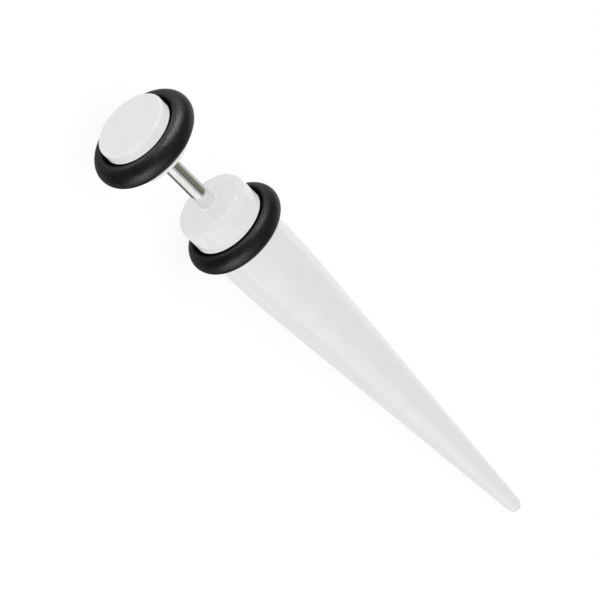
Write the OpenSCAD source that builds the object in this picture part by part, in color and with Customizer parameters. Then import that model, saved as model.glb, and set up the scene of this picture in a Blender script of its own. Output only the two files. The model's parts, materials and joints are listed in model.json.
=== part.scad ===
/* [White body] */
// Diameter of the front disc and of the head of the taper
body_d = 6; // [5:0.1:8]
// Thickness of the front disc
disc_len = 3.58; // [3:0.02:5]
// Rounding of the front disc's two edges
disc_edge_r = 0.2; // [0.1:0.05:0.4]
// Distance from the front face of the disc to the middle of its O-ring
disc_ring_at = 1.79; // [1.4:0.01:1.9]
// Distance from the face of the head to the middle of its O-ring
head_ring_at = 3.2; // [2:0.05:4]
// Rounding of the head's front edge
head_edge_r = 0.58; // [0.2:0.02:0.8]
// Distance from the head's O-ring to where the wall and the cone would meet
shoulder_at = 4.92; // [4:0.01:8]
// Angle between the cone's wall and its axis, in degrees
cone_angle = 4.52; // [3.5:0.02:6]
// Length of the soft blend between the straight wall and the cone, to each side
blend_len = 2.6; // [0.5:0.1:3]
// Radius of the rounded tip
tip_r = 0.6; // [0.4:0.05:1]

/* [Steel post] */
// Diameter of the polished post
post_d = 1.3; // [1:0.05:1.6]
// Length of post between the disc and the head, where the ear lobe sits
wear_len = 6.27; // [5:0.01:12]
// Length of post fixed inside the head
shank_len = 4; // [2:0.1:4.5]
// Length of the threaded end
thread_len = 2; // [1.5:0.1:2.2]
// Core diameter of the 1.2 mm thread, without its ridges, and of the shank in the head
core_d = 0.98; // [0.8:0.02:0.98]
// Depth of the threaded hole in the back of the disc
disc_hole_len = 2.3; // [2.3:0.1:2.5]

/* [O-rings] */
// Thickness of the rubber of the disc's O-ring
disc_cord_d = 1.92; // [1.5:0.02:2]
// Diameter of the disc's O-ring, measured at the middle of the rubber
disc_ring_d = 6.98; // [6.4:0.02:7.2]
// Thickness of the rubber of the head's O-ring
head_cord_d = 1.74; // [1.5:0.02:2]
// Diameter of the head's O-ring, measured at the middle of the rubber
head_ring_d = 6.5; // [6.2:0.02:6.8]

/* [Hidden] */
$fn = 96;

// Gap between a ring and its groove, and between faces that meet
seat_gap = 0.02;
body_r = body_d / 2;
post_r = post_d / 2;
core_r = core_d / 2;

// Places along the axis, counted from the front face of the disc towards the tip
head_z = disc_len + wear_len;
head_ring_z = head_z + head_ring_at;
shoulder_z = head_ring_z + shoulder_at;
// The blend arc touches the wall before the shoulder and the cone after it
blend_r = blend_len / tan(cone_angle / 2);
blend_z = shoulder_z - blend_len;
cone_z = shoulder_z + blend_len * cos(cone_angle);
// The cone's wall would reach the axis here if its tip weren't rounded
point_z = shoulder_z + body_r / tan(cone_angle);
// The tip's ball touches the cone's wall all round
tip_wall_r = tip_r * cos(cone_angle);
tip_wall_z = shoulder_z + (body_r - tip_wall_r) / tan(cone_angle);
tip_z = tip_wall_z - tip_r * sin(cone_angle);
// The ball is this much larger, so that its surface crosses the cone's wall cleanly
tip_overlap = 0.002;

// Lying on a flat surface the taper touches it with the head's O-ring and the tip
head_ring_r = head_ring_d / 2;
head_cord_r = head_cord_d / 2;
lie_run = tip_z - head_ring_z;
lie_slope = atan(head_ring_r / lie_run);
lie_extra = asin((head_cord_r - tip_r - tip_overlap) / norm([lie_run, head_ring_r]));
lie_angle = lie_slope + lie_extra;
lie_height = tip_z * sin(lie_angle) + tip_r + tip_overlap;
// Ends of the lying object along the surface, which set the middle of its length
front_x = disc_edge_r * cos(lie_angle) - (body_r - disc_edge_r) * sin(lie_angle) - disc_edge_r;
tip_x = tip_z * cos(lie_angle) + tip_r + tip_overlap;
middle_x = (front_x + tip_x) / 2;

// Lays a shape that is drawn along the Z axis down in its resting place
module lay_down() {
    translate([-middle_x, 0, lie_height])
        rotate([0, 90 + lie_angle, 0])
            children();
}

// Outline of a cylinder from one place on the axis to another, with rounded edges
module rounded_outline(r, z0, z1, edge0, edge1) {
    translate([0, z0])
        square([r - edge0, edge0]);
    translate([0, z0 + edge0])
        square([r, z1 - z0 - edge0 - edge1]);
    translate([0, z1 - edge1])
        square([r - edge1, edge1]);
    intersection() {
        translate([r - edge0, z0 + edge0])
            circle(edge0);
        translate([0, z0])
            square([r, edge0]);
    }
    intersection() {
        translate([r - edge1, z1 - edge1])
            circle(edge1);
        translate([0, z1 - edge1])
            square([r, edge1]);
    }
}

// Groove for an O-ring, as the outline that is cut away
module groove_outline(ring_d, cord_d, z) {
    translate([ring_d / 2, z])
        circle(cord_d / 2 + seat_gap);
}

// A round rubber ring
module o_ring(ring_d, cord_d, z) {
    translate([0, 0, z])
        rotate_extrude()
            translate([ring_d / 2, 0])
                circle(cord_d / 2);
}

// Outline of the taper from its face to its tip
module taper_outline() {
    difference() {
        union() {
            rounded_outline(body_r, head_z, shoulder_z, head_edge_r, 0.1);
            polygon([[0, shoulder_z - 1], [body_r, shoulder_z - 1], [body_r, shoulder_z], [0, point_z]]);
        }
        difference() {
            translate([0, blend_z])
                square([body_r + 1, cone_z - blend_z]);
            translate([body_r - blend_r, blend_z])
                circle(blend_r, $fn = 1440);
        }
        difference() {
            translate([0, tip_wall_z])
                square([body_r, point_z]);
            translate([0, tip_z])
                circle(tip_r + tip_overlap);
        }
    }
}

// White acrylic head and cone in one piece, with a groove and a blind hole for the post
module taper_spike() {
    color("whitesmoke")
        lay_down()
            rotate_extrude()
                difference() {
                    taper_outline();
                    groove_outline(head_ring_d, head_cord_d, head_ring_z);
                    translate([0, head_z - 1])
                        square([core_r + seat_gap, shank_len + 1 + 5 * seat_gap]);
                }
}

// Polished steel post: threaded end, bare length through the ear, shank inside the head
module post() {
    start = disc_len + seat_gap;
    color("silver")
        lay_down()
            rotate_extrude() {
                translate([0, start])
                    square([post_r, wear_len - 2 * seat_gap]);
                rounded_outline(core_r, start - thread_len, start + 0.2, 0.2, 0.05);
                rounded_outline(core_r, head_z - 0.3, head_z + shank_len, 0.05, 0.15);
            }
}

// Black rubber ring around the head of the taper
module taper_o_ring() {
    color("#242424")
        lay_down()
            o_ring(head_ring_d, head_cord_d, head_ring_z);
}

// White acrylic disc that screws onto the post
module front_disc() {
    color("whitesmoke")
        lay_down()
            rotate_extrude()
                difference() {
                    rounded_outline(body_r, 0, disc_len, disc_edge_r, disc_edge_r);
                    groove_outline(disc_ring_d, disc_cord_d, disc_ring_at);
                    translate([0, disc_len - disc_hole_len])
                        square([core_r + seat_gap, disc_hole_len + 1]);
                }
}

// Black rubber ring around the front disc
module disc_o_ring() {
    color("#242424")
        lay_down()
            o_ring(disc_ring_d, disc_cord_d, disc_ring_at);
}

taper_spike();
post();
taper_o_ring();
front_disc();
disc_o_ring();
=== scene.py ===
import json
import math

import bmesh
import bpy
from bpy.props import FloatProperty, FloatVectorProperty, IntProperty, PointerProperty
from mathutils import Matrix, Vector


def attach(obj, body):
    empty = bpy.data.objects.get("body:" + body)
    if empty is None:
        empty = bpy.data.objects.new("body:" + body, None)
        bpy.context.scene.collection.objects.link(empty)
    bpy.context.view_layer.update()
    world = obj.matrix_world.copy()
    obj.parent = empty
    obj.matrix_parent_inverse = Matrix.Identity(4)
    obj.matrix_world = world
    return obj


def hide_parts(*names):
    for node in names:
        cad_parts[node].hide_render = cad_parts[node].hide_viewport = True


bl_info = {
    "name": "Faux Taper Earring",
    "version": (1, 0, 0),
    "blender": (4, 5, 0),
    "location": "3D View > Sidebar > Earring",
    "description": "Builds a white acrylic faux taper earring with rubber rings and a steel post",
    "category": "Object",
}

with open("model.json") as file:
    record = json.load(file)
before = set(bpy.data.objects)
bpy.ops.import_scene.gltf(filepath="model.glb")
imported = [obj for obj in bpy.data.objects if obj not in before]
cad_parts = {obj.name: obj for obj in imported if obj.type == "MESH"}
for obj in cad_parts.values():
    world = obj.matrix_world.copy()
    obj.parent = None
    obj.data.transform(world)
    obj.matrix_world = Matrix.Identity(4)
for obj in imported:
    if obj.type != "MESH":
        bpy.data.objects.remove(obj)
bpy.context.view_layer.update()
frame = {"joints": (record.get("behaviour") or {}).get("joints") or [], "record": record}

# The earring's own axis comes from the joint that the front disc turns about
TURN = next(j for j in frame["joints"] if j["name"] == "cap_turn")
PIN = frame["record"]["mounts"][0]["dims"]
OUTWARD = Vector(TURN["axis"]).normalized()
TILT = math.asin(OUTWARD.z)
MIDDLE_OF_DISC = Vector(TURN["pos_m"])
MM = 0.001


def mm(metres):
    """Sizes are kept in metres and the sections are drawn in millimetres."""
    return metres * 1000


# Settings


def length(name, description, default):
    return FloatProperty(
        name=name, description=description, default=default,
        min=0.0, soft_max=0.1, precision=6, subtype="DISTANCE", unit="LENGTH",
    )


def angle(name, description, degrees, **limits):
    return FloatProperty(
        name=name, description=description, default=math.radians(degrees),
        subtype="ANGLE", unit="ROTATION", **limits,
    )


def colour(name, description, default):
    return FloatVectorProperty(
        name=name, description=description, default=default,
        size=3, min=0.0, max=1.0, subtype="COLOR",
    )


def share(name, description, default, top=1.0):
    return FloatProperty(
        name=name, description=description, default=default,
        min=0.0, max=top, precision=4, subtype="FACTOR",
    )


class AcrylicSettings(bpy.types.PropertyGroup):
    """Sizes and finish of the white acrylic taper and front disc"""

    body_d: length("Body diameter", "Diameter of the front disc and of the head of the taper", 0.006)
    disc_len: length("Disc thickness", "Thickness of the front disc", 0.00358)
    disc_edge: length("Disc edge", "Rounding of the front disc's two edges", 0.0002)
    wear_len: length("Wearing length", "Length of bare post between the disc and the head", 0.00627)
    head_edge: length("Head edge", "Rounding of the head's front edge", 0.00058)
    shoulder_at: length("Shoulder", "From the head's ring to where wall and cone would meet", 0.00492)
    blend_len: length("Blend", "Length of the soft blend between wall and cone, to each side", 0.0026)
    cone_angle: angle("Cone angle", "Angle between the cone's wall and the axis", 4.52, min=0.02, max=0.3)
    tip_r: length("Tip radius", "Radius of the rounded tip", 0.0006)
    tint: colour("Acrylic", "Colour of the white acrylic", (0.824, 0.824, 0.825))
    gloss: share("Acrylic roughness", "Roughness of the polished surface", 0.06)


class PostSettings(bpy.types.PropertyGroup):
    """Sizes and finish of the steel post"""

    post_d: length("Post diameter", "Diameter of the bare post", 2 * PIN["r_mm"] * MM)
    thread_d: length("Thread", "Outer diameter of the thread", 0.0012)
    root_d: length("Thread root", "Diameter of the post at the bottom of the thread", 0.00092)
    pitch: length("Pitch", "Distance between two ridges of the thread", 0.00025)
    thread_len: length("Thread length", "Length of the threaded end", 0.002)
    shank_len: length("Shank", "Length of post fixed inside the head", 0.004)
    tint: colour("Steel", "Colour of the polished steel", (0.95, 0.95, 0.935))
    polish: share("Steel roughness", "Roughness of the polish", 0.07)


class RubberSettings(bpy.types.PropertyGroup):
    """Sizes and finish of the two rubber rings"""

    disc_ring_at: length("Disc ring", "Distance from the front face to the middle of the ring", 0.00179)
    disc_ring_d: length("Disc ring diameter", "Diameter at the middle of the rubber", 0.00698)
    disc_cord_d: length("Disc ring thickness", "Thickness of the disc's ring", 0.00192)
    head_ring_at: length("Head ring", "Distance from the head's face to the middle of the ring", 0.0032)
    head_ring_d: length("Head ring diameter", "Diameter at the middle of the rubber", 0.0065)
    head_cord_d: length("Head ring thickness", "Thickness of the head's ring", 0.00174)
    seat_gap: length("Seat gap", "Gap between a ring and its groove", 0.00002)
    tint: colour("Rubber", "Colour of the black rubber", (0.0050, 0.0052, 0.0057))
    satin: share("Rubber roughness", "Roughness of the moulded surface", 0.37)


class StageSettings(bpy.types.PropertyGroup):
    """Camera, lights and floor"""

    azimuth: angle("Azimuth", "Where the camera stands round the earring", -143.421)
    height: angle("Height angle", "How far the camera stands above the floor's plane", 54.947)
    roll: angle("Roll", "Turn of the camera about its own line of sight", 89.893)
    lens: FloatProperty(
        name="Lens", description="Focal length", default=1200.0,
        min=50.0, subtype="DISTANCE_CAMERA", unit="CAMERA",
    )
    view_width: length("View width", "Width of what the camera sees at the earring", 0.04501)
    target: FloatVectorProperty(
        name="Target", description="Point in the middle of the picture",
        default=(-0.0047918, -0.0019491, 0.0069377), size=3, precision=6, subtype="XYZ", unit="LENGTH",
    )
    floor_shade: share("Floor", "Paleness of the floor", 0.3)
    floor_glow: share("Floor glow", "Light that the floor gives off by itself, as a light table does", 0.73)
    evenness: share("Even light", "Brightness of the even light from all round", 0.97, 4.0)
    dimness: share("Dim room", "Brightness of the room that the glossy surfaces mirror", 0.1, 4.0)
    steps: IntProperty(
        name="Turning steps", description="Number of facets round each turned part",
        default=192, min=24, max=512,
    )


def settings():
    """The four groups of settings, in one call."""
    scene = bpy.context.scene
    return scene.earring_acrylic, scene.earring_post, scene.earring_rubber, scene.earring_stage


# Places along the axis, in millimetres from the front face of the disc


def places():
    acrylic, post, rubber, _ = settings()
    disc_back = mm(acrylic.disc_len)
    head_face = disc_back + mm(acrylic.wear_len)
    return {
        "disc_ring": mm(rubber.disc_ring_at),
        "disc_back": disc_back,
        "head_face": head_face,
        "head_ring": head_face + mm(rubber.head_ring_at),
        "shoulder": head_face + mm(rubber.head_ring_at) + mm(acrylic.shoulder_at),
    }


def lying_place():
    """Takes a part drawn in millimetres along the Z axis to its place on the floor."""
    front = MIDDLE_OF_DISC + OUTWARD * settings()[0].disc_len / 2
    return Matrix.Translation(front) @ Matrix.Rotation(math.pi / 2 + TILT, 4, "Y") @ Matrix.Scale(MM, 4)


# Turned parts


class Section:
    """Half of a turned part's section, drawn as one line.

    r is the distance from the axis and z the place along it.
    """

    def __init__(self):
        self.bm = bmesh.new()
        self.pen = None
        self.corners = []

    def to(self, r, z, rounding=0.0, steps=10):
        vert = self.bm.verts.new((r, 0.0, z))
        if self.pen:
            self.bm.edges.new((self.pen, vert))
        if rounding:
            self.corners.append((vert, rounding, steps))
        self.pen = vert
        return self

    def arc(self, r, z, degrees, steps):
        """Carries the line on round a centre."""
        made = bmesh.ops.spin(
            self.bm, geom=[self.pen], cent=(r, 0.0, z), axis=(0.0, 1.0, 0.0),
            angle=math.radians(degrees), steps=steps, use_merge=False, use_duplicate=False,
        )
        self.pen = next(v for v in made["geom_last"] if isinstance(v, bmesh.types.BMVert))
        return self

    def ring(self, r, z, cord_r, steps):
        """A whole circle, for a ring."""
        verts = bmesh.ops.create_circle(self.bm, segments=steps, radius=cord_r)["verts"]
        on_edge = Matrix.Rotation(math.pi / 2, 3, "X")
        bmesh.ops.rotate(self.bm, verts=verts, cent=(0.0, 0.0, 0.0), matrix=on_edge)
        bmesh.ops.translate(self.bm, verts=verts, vec=(r, 0.0, z))
        return self

    def turned(self, steps):
        """Rounds the corners, turns the line about the axis and closes the poles."""
        bm = self.bm
        for vert, rounding, arc_steps in self.corners:
            bmesh.ops.bevel(
                bm, geom=[vert], offset=rounding, offset_type="OFFSET", segments=arc_steps,
                profile=0.5, affect="VERTICES", material=-1, clamp_overlap=False,
            )
        bmesh.ops.spin(
            bm, geom=bm.verts[:] + bm.edges[:], cent=(0.0, 0.0, 0.0), axis=(0.0, 0.0, 1.0),
            angle=2 * math.pi, steps=steps, use_merge=True, use_duplicate=False,
        )
        bmesh.ops.remove_doubles(bm, verts=bm.verts[:], dist=1e-5)
        bmesh.ops.recalc_face_normals(bm, faces=bm.faces[:])
        return bm


def add_thread(bm, wall_r, crest_r, pitch, start, turns, steps=48):
    """Winds one right-handed ridge on a wall, from start along the axis."""
    foot, crest = pitch * 0.84, pitch * 0.16
    corners = (
        (wall_r, start - foot / 2), (crest_r, start - crest / 2),
        (crest_r, start + crest / 2), (wall_r, start + foot / 2),
    )
    face = bm.faces.new([bm.verts.new((r, 0.0, z)) for r, z in corners])
    first = face.verts[:]
    made = bmesh.ops.spin(
        bm, geom=[face] + face.edges[:] + face.verts[:], cent=(0.0, 0.0, 0.0), axis=(0.0, 0.0, 1.0),
        dvec=(0.0, 0.0, pitch / steps), angle=2 * math.pi * turns, steps=round(steps * turns),
        use_merge=False, use_duplicate=False,
    )
    last = [v for v in made["geom_last"] if isinstance(v, bmesh.types.BMVert)]
    # both ends of the ridge run out into the wall
    for vert in [v for v in first if v.is_valid] + last:
        vert.co.xy = vert.co.xy.normalized() * wall_r
    bmesh.ops.recalc_face_normals(bm, faces=bm.faces[:])


def finish_piece(bm, name, node, body, material, shades=True):
    """Lays the turned part in its place, hangs it on its body's empty and hides the model.glb part that it
    replaces.

    One that doesn't shade leaves the matt white parts beside it white.
    """
    bmesh.ops.transform(bm, matrix=lying_place(), verts=bm.verts[:])
    mesh = bpy.data.meshes.new(name)
    bm.to_mesh(mesh)
    bm.free()
    mesh.polygons.foreach_set("use_smooth", [True] * len(mesh.polygons))
    mesh.set_sharp_from_angle(angle=math.radians(32))
    mesh.materials.append(material)
    piece = bpy.data.objects.new(name, mesh)
    piece.visible_diffuse = shades
    bpy.context.scene.collection.objects.link(piece)
    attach(piece, body)
    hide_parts(node)


# Materials


class Signal:
    """One output of a material's nodes, so that its sums can be written as sums."""

    def __init__(self, finish, socket):
        self.finish = finish
        self.socket = socket

    def __add__(self, other):
        return self.finish.maths("ADD", self, other)

    def __radd__(self, other):
        return self.finish.maths("ADD", other, self)

    def __sub__(self, other):
        return self.finish.maths("SUBTRACT", self, other)

    def __rsub__(self, other):
        return self.finish.maths("SUBTRACT", other, self)

    def __mul__(self, other):
        return self.finish.maths("MULTIPLY", self, other)

    def __rmul__(self, other):
        return self.finish.maths("MULTIPLY", other, self)

    def __pow__(self, other):
        return self.finish.maths("POWER", self, other)

    def __abs__(self):
        return self.finish.maths("ABSOLUTE", self)


class Nodes:
    """A tree of nodes, for a material or for the world around the earring."""

    def __init__(self, owner):
        owner.use_nodes = True
        self.owner = owner
        self.tree = owner.node_tree
        self.tree.nodes.clear()

    def node(self, kind, choices, inputs, output=0):
        """Adds a node: its choices are set first, then the values or links of its sockets."""
        node = self.tree.nodes.new(kind)
        for key, value in choices.items():
            setattr(node, key, value)
        for key, value in inputs.items():
            if isinstance(value, Signal):
                self.tree.links.new(value.socket, node.inputs[key])
            else:
                node.inputs[key].default_value = value
        return Signal(self, node.outputs[output]) if node.outputs else None

    def maths(self, operation, *values):
        return self.node("ShaderNodeMath", {"operation": operation}, dict(enumerate(values)))

    def step(self, value, low, high):
        """Rises smoothly from 0 at low to 1 at high."""
        smooth = {"interpolation_type": "SMOOTHSTEP"}
        return self.node("ShaderNodeMapRange", smooth, {"Value": value, "From Min": low, "From Max": high})

    def band(self, value, middle, half):
        """1 at the middle, falling to 0 at half to either side."""
        return 1.0 - self.step(abs(value - middle), 0.0, half)

    def mix(self, mask, first, second):
        """Mixes two colours by a mask."""
        return self.node("ShaderNodeMix", {"data_type": "RGBA"}, {0: mask, 6: first, 7: second}, 2)

    def parts(self, vector):
        """The three numbers of a place or a direction."""
        return [self.node("ShaderNodeSeparateXYZ", {}, {"Vector": vector}, axis) for axis in "XYZ"]


class Finish(Nodes):
    """One material. Its patterns read the earring's own axes, in millimetres."""

    def __init__(self, name):
        super().__init__(bpy.data.materials.new(name))
        front = MIDDLE_OF_DISC + OUTWARD * settings()[0].disc_len / 2
        self.place = self.node("ShaderNodeMapping", {"vector_type": "TEXTURE"}, {
            "Vector": self.node("ShaderNodeTexCoord", {}, {}, "Object"),
            "Location": front,
            "Rotation": (0.0, math.pi / 2 + TILT, 0.0),
            "Scale": (MM, MM, MM),
        })
        x, y, self.z = self.parts(self.place)
        self.r = self.maths("SQRT", x * x + y * y)

    def noise(self, scale, detail=2.0, roughness=0.5, vector=None):
        place = {"Vector": vector or self.place, "Scale": scale}
        return self.node("ShaderNodeTexNoise", {}, {**place, "Detail": detail, "Roughness": roughness})

    def stretched(self, turn, squeeze):
        """The place, turned and stretched, for marks that run one way."""
        inputs = {"Vector": self.place, "Rotation": turn, "Scale": squeeze}
        return self.node("ShaderNodeMapping", {"vector_type": "POINT"}, inputs)

    def specks(self, scale, size, amount, vector=None):
        """Small spots, one in each cell of a loose lattice, kept in only some of the cells."""
        place = {"Vector": vector or self.place, "Scale": scale}
        near = self.node("ShaderNodeTexVoronoi", {"feature": "F1"}, place, "Distance")
        cell = self.node("ShaderNodeTexVoronoi", {"feature": "F1"}, place, "Color")
        pick = self.node("ShaderNodeSeparateXYZ", {}, {"Vector": cell}, "X")
        return (1.0 - self.step(near, size * 0.5, size)) * self.step(pick, 1.0 - amount, 1.0 - amount + 0.05)

    def scratches(self, amount):
        """Hairlines in three directions."""
        total = 0.0
        for turn, squeeze in (
            ((0.2, 0.1, 0.5), (4.0, 4.0, 0.35)),
            ((1.3, 0.4, 0.9), (4.5, 4.5, 0.4)),
            ((0.3, 1.2, 2.0), (3.5, 3.5, 0.3)),
        ):
            total = self.specks(1.0, 0.05, amount, self.stretched(turn, squeeze)) + total
        return self.maths("MINIMUM", total, 1.0)

    def bump(self, height, distance, strength=1.0, under=None):
        inputs = {"Height": height, "Distance": distance, "Strength": strength}
        if under:
            inputs["Normal"] = under
        return self.node("ShaderNodeBump", {}, inputs)

    def surface(self, inputs, dull=None, dull_inputs=None):
        """Closes the material with one shader, or with two and a mask that is 1 where the dull one shows."""
        shader = self.node("ShaderNodeBsdfPrincipled", {}, inputs)
        if dull:
            dull_shader = self.node("ShaderNodeBsdfPrincipled", {}, dull_inputs)
            shader = self.node("ShaderNodeMixShader", {}, {0: dull, 1: shader, 2: dull_shader})
        self.node("ShaderNodeOutputMaterial", {}, {"Surface": shader})
        return self.owner


class Surroundings(Nodes):
    """What lies around the earring, by direction.

    The camera sees white, the matt surfaces get even light, and the glossy ones mirror a dim room.
    """

    def __init__(self, world):
        super().__init__(world)
        self.x, y, self.z = self.parts(self.node("ShaderNodeTexCoord", {}, {}, "Generated"))
        self.azimuth = self.maths("ARCTAN2", y, self.x)
        self.height = self.maths("ARCSINE", self.z)

    def patch(self, azimuth, height, width, tall, brightness):
        """A patch of light round a direction, in degrees. It fades from its middle to its edges."""
        aside = abs(self.maths("WRAP", self.azimuth - math.radians(azimuth), math.pi, -math.pi))
        above = abs(self.height - math.radians(height))
        across = 1.0 - self.step(aside, math.radians(width) * 0.15, math.radians(width) * 0.5)
        up = 1.0 - self.step(above, math.radians(tall) * 0.15, math.radians(tall) * 0.5)
        return across * up * brightness

    def glow(self, brightness, warmth=0.0):
        colour_of_light = (*warm(warmth), 1.0)
        return self.node("ShaderNodeBackground", {}, {"Color": colour_of_light, "Strength": brightness})

    def choose(self, ray, other, chosen):
        """Takes the chosen light for one kind of ray, and the other for the rest."""
        kind = self.node("ShaderNodeLightPath", {}, {}, ray)
        return self.node("ShaderNodeMixShader", {}, {0: kind, 1: other, 2: chosen})


def opaque(rgb, factor=1.0):
    """A colour made lighter or darker, with its alpha."""
    return (*(min(1.0, c * factor) for c in rgb), 1.0)


def warm(warmth):
    """White light with some of its blue taken out."""
    return 1.0, 1.0 - warmth * 0.1, 1.0 - warmth


def white_acrylic(name, edges, ring_z, root_z):
    """Polished white acrylic: cloudy depth, faint turning lines, hairlines and a little dust.

    Each of the edges, given as (place, radius), has a duller rim. The groove round ring_z is painted dark
    as shade under the rubber that sits in it, and a thin pale line is painted at root_z round the post as a
    highlight.
    """
    acrylic = settings()[0]
    wall = mm(acrylic.body_d) / 2
    root_r = mm(settings()[1].post_d) / 2
    f = Finish(name)
    cloud = f.noise(0.55, 3.0, 0.55)
    fine = f.noise(6.0, 4.0, 0.6)
    hairlines = f.scratches(0.3)
    dust = f.specks(1.1, 0.028, 0.16)
    worn = 0.0
    for z, r in edges:
        gap = f.maths("SQRT", (f.z - z) ** 2.0 + (f.r - r) ** 2.0)
        rubbed = (1.0 - f.step(gap, 0.05, 0.42)) * f.step(f.noise(2.6, 3.0, 0.6), 0.38, 0.62)
        worn = f.maths("MAXIMUM", rubbed, worn)
    body = f.mix(f.step(cloud, 0.3, 0.7), opaque(acrylic.tint, 0.992), opaque(acrylic.tint, 1.006))
    body = f.mix(dust * 0.5, body, (0.52, 0.50, 0.47, 1.0))
    body = f.mix(hairlines * 0.10, body, opaque(acrylic.tint, 0.86))
    # painted shade: inside the groove, under the ring, the acrylic is drawn near black
    beside_ring = 1.0 - f.step(abs(f.z - ring_z), 1.0, 1.02)
    under_wall = (1.0 - f.step(f.r, wall - 0.03, wall - 0.015)) * f.step(f.r, 1.2, 1.3)
    body = f.mix(beside_ring * under_wall, body, (0.02, 0.02, 0.02, 1.0))
    # painted highlight: a thin pale line round the post's foot, lighter than the acrylic
    painted_root_highlight = f.band(f.r, root_r + 0.05, 0.07) * f.band(f.z, root_z, 0.05)
    body = f.mix(painted_root_highlight, body, (0.95, 0.95, 0.95, 1.0))
    dull = acrylic.gloss + (fine - 0.5) * 0.04 + hairlines * 0.1 + worn * 0.1 + dust * 0.3
    # lathe lines run round the walls and round the faces, so r and z are added up
    wobble = f.noise(1.4, 2.0, 0.5)
    patches = f.step(f.noise(0.9, 2.0, 0.5), 0.35, 0.75)
    lines = f.maths("SINE", (f.r + f.z) * 46.0 + wobble * 7.0) * patches
    skin = f.bump(f.noise(1.1, 2.0, 0.4), 0.000012, 0.5)
    skin = f.bump(lines, 0.0000004, 0.5, skin)
    skin = f.bump(1.0 - hairlines, 0.000003, 0.4, skin)
    return f.surface({
        "Base Color": body,
        "Roughness": dull,
        "Normal": skin,
        "IOR": 1.55,
        "Subsurface Weight": 1.0,
        "Subsurface Radius": (1.0, 1.0, 0.97),
        "Subsurface Scale": 0.0002,
    })


def black_rubber(name, ring_z, ring_r):
    """Satin black rubber: moulded grain, a faint parting line round the outside, greyish bloom and lint."""
    rubber = settings()[2]
    f = Finish(name)
    grain = f.noise(14.0, 3.0, 0.6)
    mottle = f.noise(5.5, 3.0, 0.6)
    cloud = f.noise(1.3, 3.0, 0.6)
    outside = f.step(f.r, ring_r, ring_r + 0.3)
    parting = f.band(f.z, ring_z, 0.035) * outside
    fibres = f.specks(1.0, 0.05, 0.14, f.stretched((0.4, 0.9, 0.2), (1.6, 1.6, 0.5)))
    lint = fibres * f.step(f.noise(7.0), 0.4, 0.6)
    rubbed = f.scratches(0.22)
    body = f.mix(f.step(cloud, 0.35, 0.72), opaque(rubber.tint, 0.85), opaque(rubber.tint, 1.45))
    body = f.mix(f.step(mottle, 0.4, 0.68) * 0.5, body, opaque(rubber.tint, 2.1))
    body = f.mix(f.step(grain, 0.5, 0.75) * 0.3, body, opaque(rubber.tint, 2.6))
    body = f.mix(lint * 0.28, body, (0.16, 0.155, 0.15, 1.0))
    satin = rubber.satin + (mottle - 0.5) * 0.3 + (cloud - 0.5) * 0.16
    satin = satin - parting * 0.06 + rubbed * 0.06 + lint * 0.2
    # painted shade: where the rubber turns into the groove it is drawn darker and without gloss, as little
    # light gets in there
    wall = mm(settings()[0].body_d) / 2
    painted_groove_shade = 1.0 - f.step(f.r, wall + 0.22, wall + 0.52)
    skin = f.bump(cloud, 0.00003, 0.35)
    skin = f.bump(mottle, 0.00006, 0.7, skin)
    skin = f.bump(grain, 0.000012, 0.6, skin)
    skin = f.bump(parting, 0.000012, 0.6, skin)
    skin = f.bump(1.0 - rubbed, 0.000003, 0.35, skin)
    return f.surface(
        {"Base Color": body, "Roughness": satin, "Normal": skin, "IOR": 1.62},
        painted_groove_shade,
        {"Base Color": opaque(rubber.tint, 0.5), "Roughness": 1.0, "Specular IOR Level": 0.0},
    )


def polished_steel(name):
    """Polished steel: fine lines round the post, a few long hairlines, and a duller thread."""
    post = settings()[1]
    back = places()["disc_back"]
    f = Finish(name)
    round_lines = f.noise(1.0, 3.0, 0.65, f.stretched((0.0, 0.0, 0.0), (1.2, 1.2, 42.0)))
    hairlines = f.specks(1.0, 0.06, 0.4, f.stretched((0.03, 0.02, 0.0), (9.0, 9.0, 0.6)))
    cloud = f.noise(1.8, 2.0, 0.5)
    thread = 1.0 - f.step(f.z, back - 0.05, back + 0.02)
    steel = f.mix(f.step(cloud, 0.3, 0.7), opaque(post.tint, 0.96), opaque(post.tint, 1.03))
    steel = f.mix(hairlines * 0.35, steel, opaque(post.tint, 0.8))
    steel = f.mix(thread * f.step(f.noise(5.0, 3.0, 0.6), 0.4, 0.7) * 0.5, steel, opaque(post.tint, 0.62))
    polish = post.polish + round_lines * 0.07 + hairlines * 0.10 + thread * 0.10
    skin = f.bump(round_lines, 0.0000016, 0.5)
    skin = f.bump(1.0 - hairlines, 0.000002, 0.4, skin)
    return f.surface({
        "Base Color": steel,
        "Metallic": 1.0,
        "Roughness": polish,
        "Normal": skin,
        "Specular Tint": (0.75, 0.75, 0.75, 1.0),
    })


# Pieces

# The shank and its hole in the head are thinner than the bare post by this, to each side, in millimetres
SHANK_STEP = 0.16
SHANK_HOLE_STEP = 0.14
# Room left at the ends of the two blind holes
HEAD_HOLE_SPARE = 0.1
DISC_HOLE_SPARE = 0.3
# A point this far from a rounded edge or a groove keeps the shading beside it flat
HOLD = 0.03


def groove(line, wall, ring_z, ring_d, cord_d):
    """Carries the line along the wall, down round the ring's seat and up again."""
    ring_r, seat_r = mm(ring_d) / 2, mm(cord_d) / 2 + mm(settings()[2].seat_gap)
    half = math.sqrt(seat_r ** 2 - (ring_r - wall) ** 2)
    sweep = math.degrees(2 * math.asin(half / seat_r))
    line.to(wall, ring_z - half - HOLD).to(wall, ring_z - half).arc(ring_r, ring_z, sweep, 40)
    line.to(wall, ring_z + half + HOLD)


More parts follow.
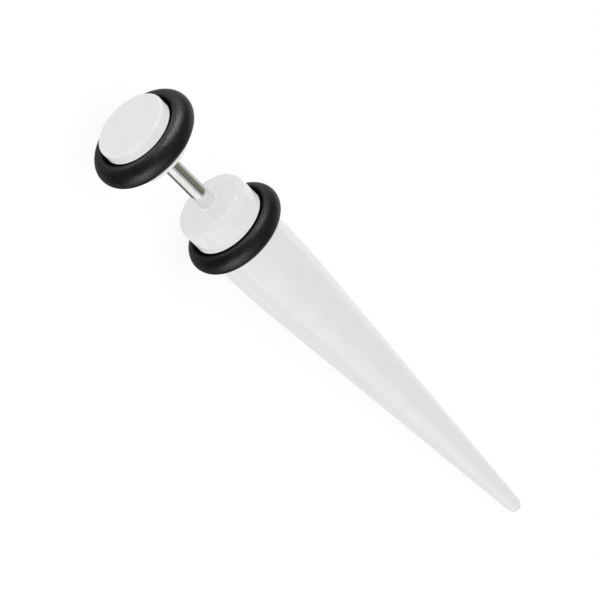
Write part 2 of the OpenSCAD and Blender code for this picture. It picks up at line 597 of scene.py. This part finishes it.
class EARRING_OT_taper(bpy.types.Operator):
    """Build the white acrylic taper: head with a groove and a blind hole, cone and round tip"""

    bl_idname = "earring.taper"
    bl_label = "White Taper"

    def execute(self, context):
        acrylic, post, rubber, stage = settings()
        p = places()
        wall = mm(acrylic.body_d) / 2
        edge = mm(acrylic.head_edge)
        hole_r = mm(post.post_d) / 2 - SHANK_HOLE_STEP
        hole_end = p["head_face"] + mm(post.shank_len) + HEAD_HOLE_SPARE
        tip = mm(acrylic.tip_r)
        slope = acrylic.cone_angle
        tip_wall_z = p["shoulder"] + (wall - tip * math.cos(slope)) / math.tan(slope)
        tip_z = tip_wall_z - tip * math.sin(slope)

        line = Section()
        line.to(0.0, hole_end).to(hole_r, hole_end).to(hole_r, p["head_face"])
        line.to(wall - edge - 0.05, p["head_face"]).to(wall, p["head_face"], edge, 14)
        line.to(wall, p["head_face"] + edge + 0.05)
        groove(line, wall, p["head_ring"], rubber.head_ring_d, rubber.head_cord_d)
        line.to(wall, p["shoulder"], mm(acrylic.blend_len), 16)
        for share_down in (0.3, 0.5, 0.7, 0.85, 0.95):
            z = p["shoulder"] + (tip_wall_z - p["shoulder"]) * share_down
            line.to(wall - (z - p["shoulder"]) * math.tan(slope), z)
        line.to(tip * math.cos(slope), tip_wall_z).arc(0.0, tip_z, math.degrees(slope) - 90, 14)
        bm = line.turned(stage.steps)
        edges = ((p["head_face"], wall), (tip_z + tip, 0.0))
        material = white_acrylic("white_acrylic_taper", edges, p["head_ring"], p["head_face"])
        finish_piece(bm, "taper_spike_acrylic", "taper_spike", "taper", material)
        return {"FINISHED"}


class EARRING_OT_front_disc(bpy.types.Operator):
    """Build the white acrylic front disc: groove, soft edges and a threaded blind hole"""

    bl_idname = "earring.front_disc"
    bl_label = "Front Disc"

    def execute(self, context):
        acrylic, post, rubber, stage = settings()
        p = places()
        wall, back, edge = mm(acrylic.body_d) / 2, p["disc_back"], mm(acrylic.disc_edge)
        hole_r, hole_start = mm(post.thread_d) / 2 + 0.02, back - mm(post.thread_len) - DISC_HOLE_SPARE
        crest_r = mm(post.root_d) / 2 + 0.03

        line = Section()
        line.to(0.0, 0.0).to(wall - edge - HOLD, 0.0).to(wall, 0.0, edge, 10).to(wall, edge + HOLD)
        groove(line, wall, p["disc_ring"], rubber.disc_ring_d, rubber.disc_cord_d)
        line.to(wall, back - edge - HOLD).to(wall, back, edge, 10).to(wall - edge - HOLD, back)
        line.to(hole_r + 0.08, back, 0.03, 4).to(hole_r, back - 0.08)
        line.to(hole_r, hole_start).to(0.0, hole_start - 0.05)
        bm = line.turned(stage.steps)
        # the ridge lies half a pitch from the post's, so that the two mesh
        pitch = mm(post.pitch)
        turns = round((mm(post.thread_len) - 0.2) / pitch)
        add_thread(bm, hole_r + 0.01, crest_r, pitch, back - mm(post.thread_len) + 0.5 * pitch, turns)
        material = white_acrylic("white_acrylic_disc", ((0.0, wall), (back, wall)), p["disc_ring"], back)
        finish_piece(bm, "front_disc_acrylic", "front_disc", "cap", material)
        return {"FINISHED"}


class EARRING_OT_post(bpy.types.Operator):
    """Build the polished steel post with its threaded end and its shank"""

    bl_idname = "earring.post"
    bl_label = "Steel Post"

    def execute(self, context):
        _, post, rubber, _ = settings()
        p = places()
        gap = mm(rubber.seat_gap)
        bare, root = mm(post.post_d) / 2, mm(post.root_d) / 2
        shank = bare - SHANK_STEP
        start, end = p["disc_back"] + gap, p["head_face"] - gap
        tip = start - mm(post.thread_len)
        shank_end = p["head_face"] + mm(post.shank_len)

        line = Section()
        line.to(0.0, tip).to(root, tip, 0.2, 8).to(root, start)
        line.to(bare, start, 0.04, 4).to(bare, start + 0.08).to(bare, (start + end) / 2).to(bare, end - 0.06)
        line.to(bare, end, 0.03, 3).to(shank, end)
        line.to(shank, shank_end, 0.15, 4).to(0.0, shank_end)
        bm = line.turned(96)
        pitch = mm(post.pitch)
        turns = (start - tip) / pitch - 0.9
        first = p["disc_back"] - mm(post.thread_len) + pitch
        add_thread(bm, root - 0.01, mm(post.thread_d) / 2, pitch, first, turns)
        material = polished_steel("polished_steel_post")
        finish_piece(bm, "post_steel", "post", "taper", material, shades=False)
        return {"FINISHED"}


class EARRING_OT_rings(bpy.types.Operator):
    """Build the two black rubber rings, one on the front disc and one on the head of the taper"""

    bl_idname = "earring.rings"
    bl_label = "Rubber Rings"

    def execute(self, context):
        _, _, rubber, stage = settings()
        p = places()
        for node, body, z, ring_d, cord_d in (
            ("disc_o_ring", "cap_ring", p["disc_ring"], rubber.disc_ring_d, rubber.disc_cord_d),
            ("taper_o_ring", "taper", p["head_ring"], rubber.head_ring_d, rubber.head_cord_d),
        ):
            name = node + "_rubber"
            bm = Section().ring(mm(ring_d) / 2, z, mm(cord_d) / 2, 64).turned(stage.steps)
            material = black_rubber("black_" + name, z, mm(ring_d) / 2)
            finish_piece(bm, name, node, body, material, shades=False)
        return {"FINISHED"}


# Stage


def toward(azimuth, height):
    """A direction from the azimuth round the earring and the height angle above the floor."""
    flat = math.cos(height)
    return Vector((math.cos(azimuth) * flat, math.sin(azimuth) * flat, math.sin(height)))


def soft_box(name, azimuth, height, width, tall, brightness, onto,
             around=(0.0, 0.0, 0.0), distance=0.4, warmth=0.0):
    """A rectangular soft light that faces the earring and gives its gloss.

    Its sizes are in degrees as the earring sees them, and its brightness is what a mirror would show.
    It falls only on the pieces that are named.
    """
    lamp = bpy.data.lights.new(name, "AREA")
    lamp.shape = "RECTANGLE"
    lamp.size = 2 * distance * math.tan(math.radians(width) / 2)
    lamp.size_y = 2 * distance * math.tan(math.radians(tall) / 2)
    lamp.energy = brightness * math.pi * lamp.size * lamp.size_y
    lamp.color = warm(warmth)
    light = bpy.data.objects.new(name, lamp)
    back = toward(math.radians(azimuth), math.radians(height))
    light.location = Vector(around) + back * distance
    light.rotation_mode = "QUATERNION"
    light.rotation_quaternion = (-back).to_track_quat("-Z", "Y")
    light.visible_camera = False
    light.visible_diffuse = False
    lit = light.light_linking.receiver_collection = bpy.data.collections.new("lit_by_" + name)
    for piece in onto:
        lit.objects.link(bpy.data.objects[piece])
    bpy.context.scene.collection.objects.link(light)


class EARRING_OT_stage(bpy.types.Operator):
    """Set up the pale floor, the soft studio light and the camera"""

    bl_idname = "earring.stage"
    bl_label = "Floor, Lights and Camera"

    def execute(self, context):
        stage = settings()[3]
        scene = context.scene

        bm = bmesh.new()
        bmesh.ops.create_circle(bm, cap_ends=True, segments=96, radius=1.2)
        bmesh.ops.translate(bm, verts=bm.verts[:], vec=(0.0, 0.0, -0.00001))
        mesh = bpy.data.meshes.new("floor")
        bm.to_mesh(mesh)
        bm.free()
        floor = bpy.data.objects.new("floor", mesh)
        floor.visible_glossy = False
        floor.visible_shadow = False
        scene.collection.objects.link(floor)
        shade = stage.floor_shade
        mesh.materials.append(Finish("pale_floor").surface({
            "Base Color": (shade, shade, shade, 1.0),
            "Roughness": 0.9,
            "Specular IOR Level": 0.0,
            "Emission Color": (1.0, 1.0, 1.0, 1.0),
            "Emission Strength": stage.floor_glow,
        }))

        white = ("taper_spike_acrylic", "front_disc_acrylic")
        rubber = ("disc_o_ring_rubber", "taper_o_ring_rubber")
        steel = ("post_steel",)
        soft_box("card_before_disc", 151, 15, 40, 28, 5.4, rubber, MIDDLE_OF_DISC, 0.024)
        soft_box("core_beside_post", -86, 20, 38, 34, 1.75, rubber)
        soft_box("box_beside_post", -59, 10, 56, 54, 0.81, rubber + steel)
        soft_box("warm_side", 44, 28, 56, 56, 0.07, steel, warmth=0.5)
        # the window's panes lie on each other and each ends lower than the last, so its light fades upwards
        for top in (52, 44, 36, 28):
            soft_box("window_to_%d" % top, -71, (top - 8) / 2, 76, top + 8, 0.24, white)
        soft_box("strip_behind_disc", 158, 3, 22, 9, 4.6, white)
        soft_box("rim_behind", 54, -26, 60, 56, 0.25, white)
        soft_box("rim_below", -18, -58, 90, 36, 0.55, white)

        world = bpy.data.worlds.new("studio")
        world.cycles.sampling_method = "NONE"
        scene.world = world
        w = Surroundings(world)
        room = 0.02 + stage.dimness * w.step(w.z, -0.1, 0.75) + 0.2 * (1.0 - w.step(w.z, -0.95, -0.7))
        for azimuth, height, width, tall, brightness in (
            (-135, 60, 150, 60, 0.12),
            (-56, -26, 36, 54, 0.42),
            (52, -34, 74, 130, 0.64),
            (125, -32, 140, 72, 0.38),
            (-38, 47, 52, 36, 0.4),
        ):
            room = room + w.patch(azimuth, height, width, tall, brightness)
        even = stage.evenness - 0.05 * w.x
        w.node("ShaderNodeOutputWorld", {}, {"Surface": w.choose(
            "Is Camera Ray",
            w.choose("Is Glossy Ray", w.glow(even), w.glow(room, 0.03)),
            w.glow(1.0),
        )})

        data = bpy.data.cameras.new("camera")
        data.lens = stage.lens
        data.sensor_width = 36.0
        distance = stage.view_width * stage.lens / data.sensor_width
        data.clip_start, data.clip_end = distance * 0.5, distance * 3
        camera = bpy.data.objects.new("camera", data)
        back = toward(stage.azimuth, stage.height)
        camera.rotation_mode = "QUATERNION"
        level = (-back).to_track_quat("-Z", "Y")
        camera.rotation_quaternion = level @ Matrix.Rotation(stage.roll, 3, "Z").to_quaternion()
        camera.location = Vector(stage.target) + back * distance
        scene.collection.objects.link(camera)
        scene.camera = camera
        scene.view_settings.view_transform = "Standard"
        return {"FINISHED"}


class EARRING_PT_panel(bpy.types.Panel):
    """Lists the operators that build the earring"""

    bl_label = "Faux Taper Earring"
    bl_idname = "EARRING_PT_panel"
    bl_space_type = "VIEW_3D"
    bl_region_type = "UI"
    bl_category = "Earring"

    def draw(self, context):
        for piece in OPERATORS:
            self.layout.operator(piece.bl_idname)
        for group in settings():
            box = self.layout.box()
            for name in group.__annotations__:
                box.prop(group, name)


OPERATORS = (EARRING_OT_taper, EARRING_OT_front_disc, EARRING_OT_post, EARRING_OT_rings, EARRING_OT_stage)
CLASSES = (AcrylicSettings, PostSettings, RubberSettings, StageSettings, *OPERATORS, EARRING_PT_panel)


def register():
    for cls in CLASSES:
        bpy.utils.register_class(cls)
    bpy.types.Scene.earring_acrylic = PointerProperty(type=AcrylicSettings)
    bpy.types.Scene.earring_post = PointerProperty(type=PostSettings)
    bpy.types.Scene.earring_rubber = PointerProperty(type=RubberSettings)
    bpy.types.Scene.earring_stage = PointerProperty(type=StageSettings)


def unregister():
    for name in ("earring_acrylic", "earring_post", "earring_rubber", "earring_stage"):
        delattr(bpy.types.Scene, name)
    for cls in reversed(CLASSES):
        bpy.utils.unregister_class(cls)


def main():
    register()
    bpy.ops.earring.taper()
    bpy.ops.earring.front_disc()
    bpy.ops.earring.post()
    bpy.ops.earring.rings()
    bpy.ops.earring.stage()


if __name__ == "__main__":
    main()
